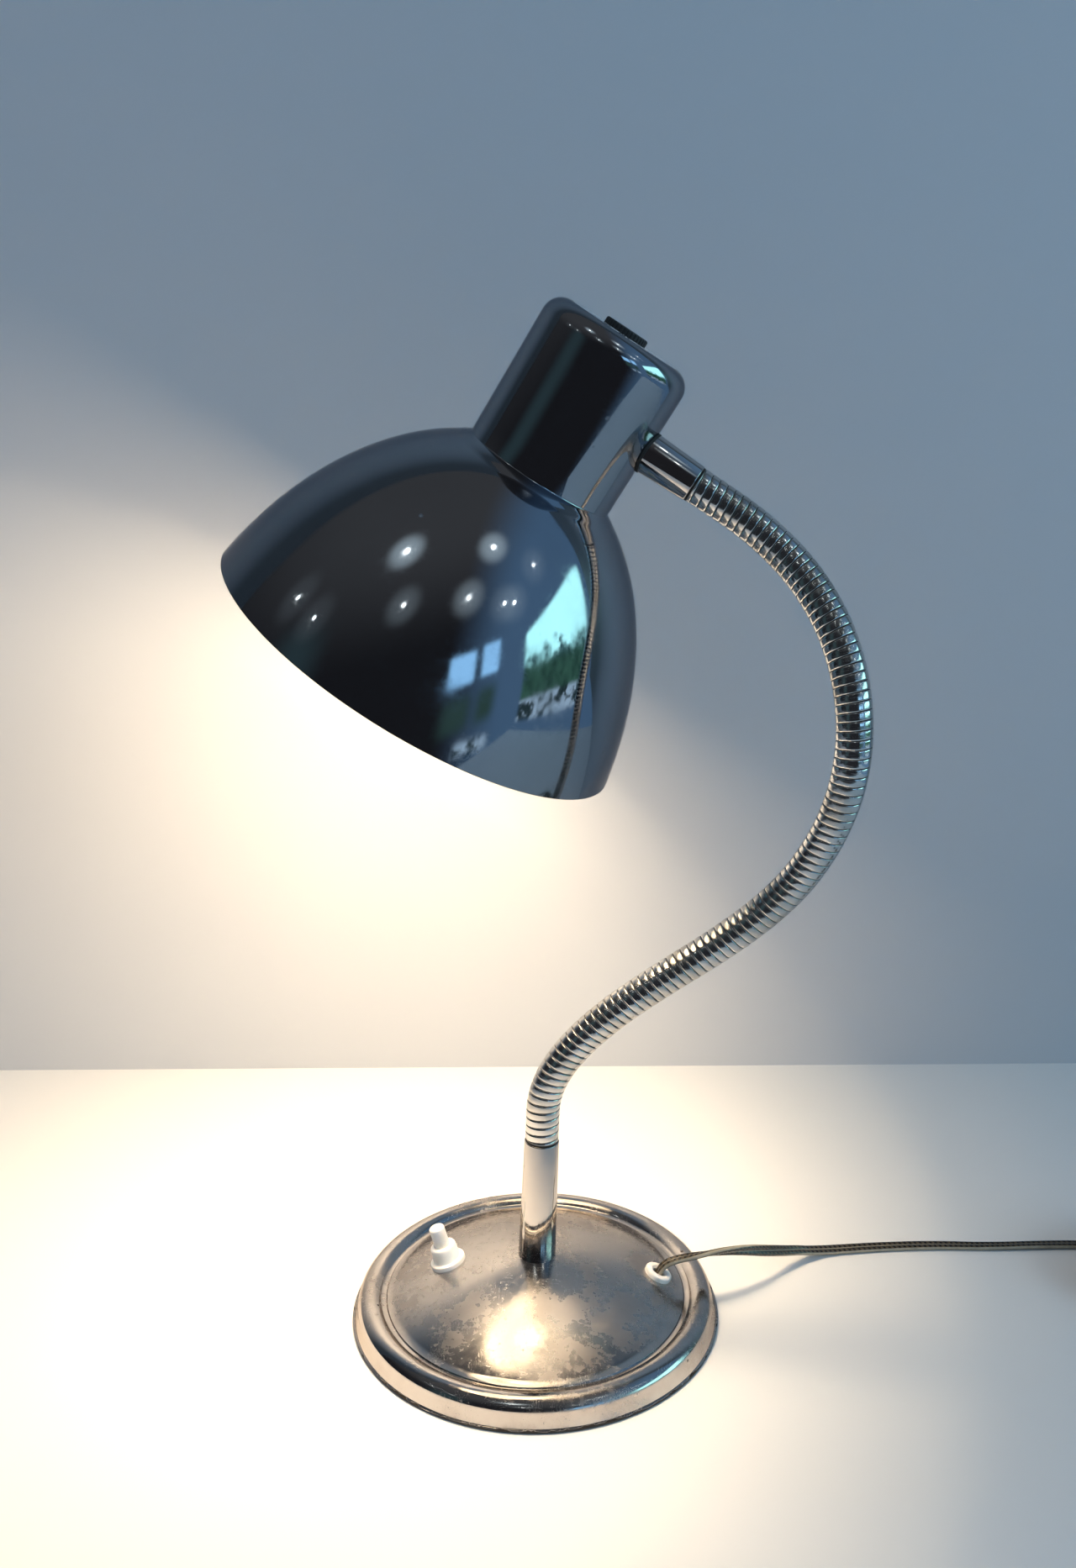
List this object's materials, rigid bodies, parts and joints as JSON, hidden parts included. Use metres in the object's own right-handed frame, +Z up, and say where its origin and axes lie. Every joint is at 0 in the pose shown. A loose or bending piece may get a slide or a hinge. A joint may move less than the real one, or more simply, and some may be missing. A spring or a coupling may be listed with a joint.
{
  "type": "gooseneck desk lamp",
  "caption": "Desk lamp with a domed round base, push switch, flexible ribbed neck and a bell shade with a cylindrical cap.",
  "frame": {"origin": "centre of the base's underside, where it stands on the table", "axes": "+Z up; +X to the lamp's right and +Y to its back for a person in front of it"},
  "size_m": [0.4387, 0.2775, 0.4195],
  "materials": {
    "chrome_plate": "mirror chrome, worn with fine scratches and pits",
    "zinc_steel": "zinc-plated, satin",
    "cast_iron": "rough cast",
    "black_rubber": "matt",
    "white_plastic": "glossy, slightly aged",
    "black_bakelite": "moulded, satin",
    "black_plug": "moulded, satin",
    "brass": "plain",
    "amber_cord": "clear aged sheath over copper",
    "lead_sleeving": "smooth",
    "splice_plastic": "moulded",
    "black_paint": "matt black, chipped",
    "lamp_aluminium": "rolled",
    "bulb_glass": "frosted inside",
    "nickel_pin": "nickel-plated"
  },
  "bodies": {
    "base": {"base_pad": "black_rubber", "base_shell": "chrome_plate", "base_weight": "cast_iron", "stem_nipple": "zinc_steel", "stem_washer": "zinc_steel", "stem_nut": "zinc_steel", "lower_collar": "chrome_plate", "lower_end_sleeve": "zinc_steel", "switch_bushing": "white_plastic", "switch_body": "black_bakelite", "switch_spring": "zinc_steel", "switch_terminals": "brass", "cord_grommet": "white_plastic", "base_cord": "amber_cord", "wire_splice": "splice_plastic", "stem_lead": "lead_sleeving", "switch_lead": "lead_sleeving", "gooseneck_section_1": "chrome_plate", "lead_section_1": "lead_sleeving", "cord_run": "amber_cord", "cord_coil": "amber_cord", "cord_tail": "amber_cord", "plug_body": "black_plug", "plug_pins": "nickel_pin"},
    "button": {"switch_button": "white_plastic"},
    "neck_link_1": {"gooseneck_section_2": "chrome_plate", "lead_section_2": "lead_sleeving"},
    "neck_link_2": {"gooseneck_section_3": "chrome_plate", "lead_section_3": "lead_sleeving"},
    "neck_link_3": {"gooseneck_section_4": "chrome_plate", "lead_section_4": "lead_sleeving"},
    "neck_link_4": {"gooseneck_section_5": "chrome_plate", "lead_section_5": "lead_sleeving"},
    "neck_link_5": {"gooseneck_section_6": "chrome_plate", "lead_section_6": "lead_sleeving"},
    "head": {"upper_ferrule": "chrome_plate", "ferrule_gasket": "black_rubber", "upper_end_sleeve": "zinc_steel", "head_nipple": "zinc_steel", "head_washer": "zinc_steel", "head_nut": "zinc_steel", "shade": "chrome_plate", "top_nut": "black_paint", "holder_nipple": "zinc_steel", "holder_washer": "zinc_steel", "holder_body": "black_bakelite", "holder_shell": "brass", "holder_contact": "brass", "head_lead": "lead_sleeving", "bulb_cap": "lamp_aluminium", "bulb_contact": "brass", "bulb_glass": "bulb_glass"}
  },
  "joints": [
    {"name": "neck_bend_1", "type": "hinge", "parent": "base", "child": "neck_link_1", "pos_m": [0.00758, -0.0001, 0.10825], "axis": [0.0056, 0.9999, 0.012], "range_deg": [-25, 25], "deforming": ["gooseneck_section_1", "lead_section_1"]},
    {"name": "neck_bend_2", "type": "hinge", "parent": "neck_link_1", "child": "neck_link_2", "pos_m": [0.04783, -0.00183, 0.14915], "axis": [-0.5834, 0, 0.8122], "range_deg": [-30, 30], "deforming": ["gooseneck_section_2", "lead_section_2"]},
    {"name": "neck_bend_3", "type": "hinge", "parent": "neck_link_2", "child": "neck_link_3", "pos_m": [0.09374, -0.00642, 0.18414], "axis": [0.0999, 0.99, 0.0995], "range_deg": [-25, 30], "deforming": ["gooseneck_section_3", "lead_section_3"]},
    {"name": "neck_bend_4", "type": "hinge", "parent": "neck_link_3", "child": "neck_link_4", "pos_m": [0.11959, -0.01911, 0.23351], "axis": [-0.9792, 0, 0.2028], "range_deg": [-30, 30], "deforming": ["gooseneck_section_4", "lead_section_4"]},
    {"name": "neck_bend_5", "type": "hinge", "parent": "neck_link_4", "child": "neck_link_5", "pos_m": [0.11744, -0.01419, 0.28996], "axis": [0.0926, 0.949, -0.3015], "range_deg": [-20, 30], "deforming": ["gooseneck_section_5", "lead_section_5"]},
    {"name": "neck_bend_6", "type": "hinge", "parent": "neck_link_5", "child": "head", "pos_m": [0.08661, 0.00426, 0.33441], "axis": [-0.6319, 0, -0.775], "range_deg": [-30, 30], "deforming": ["gooseneck_section_6", "lead_section_6"]},
    {"name": "switch_press", "type": "slide", "parent": "base", "child": "button", "axis": [0.2923, -0.0308, -0.9558], "range_m": [0, 0.003], "stiffness_N_per_m": 250, "springref_m": -0.002, "deforming": ["switch_spring"]}
  ]
}
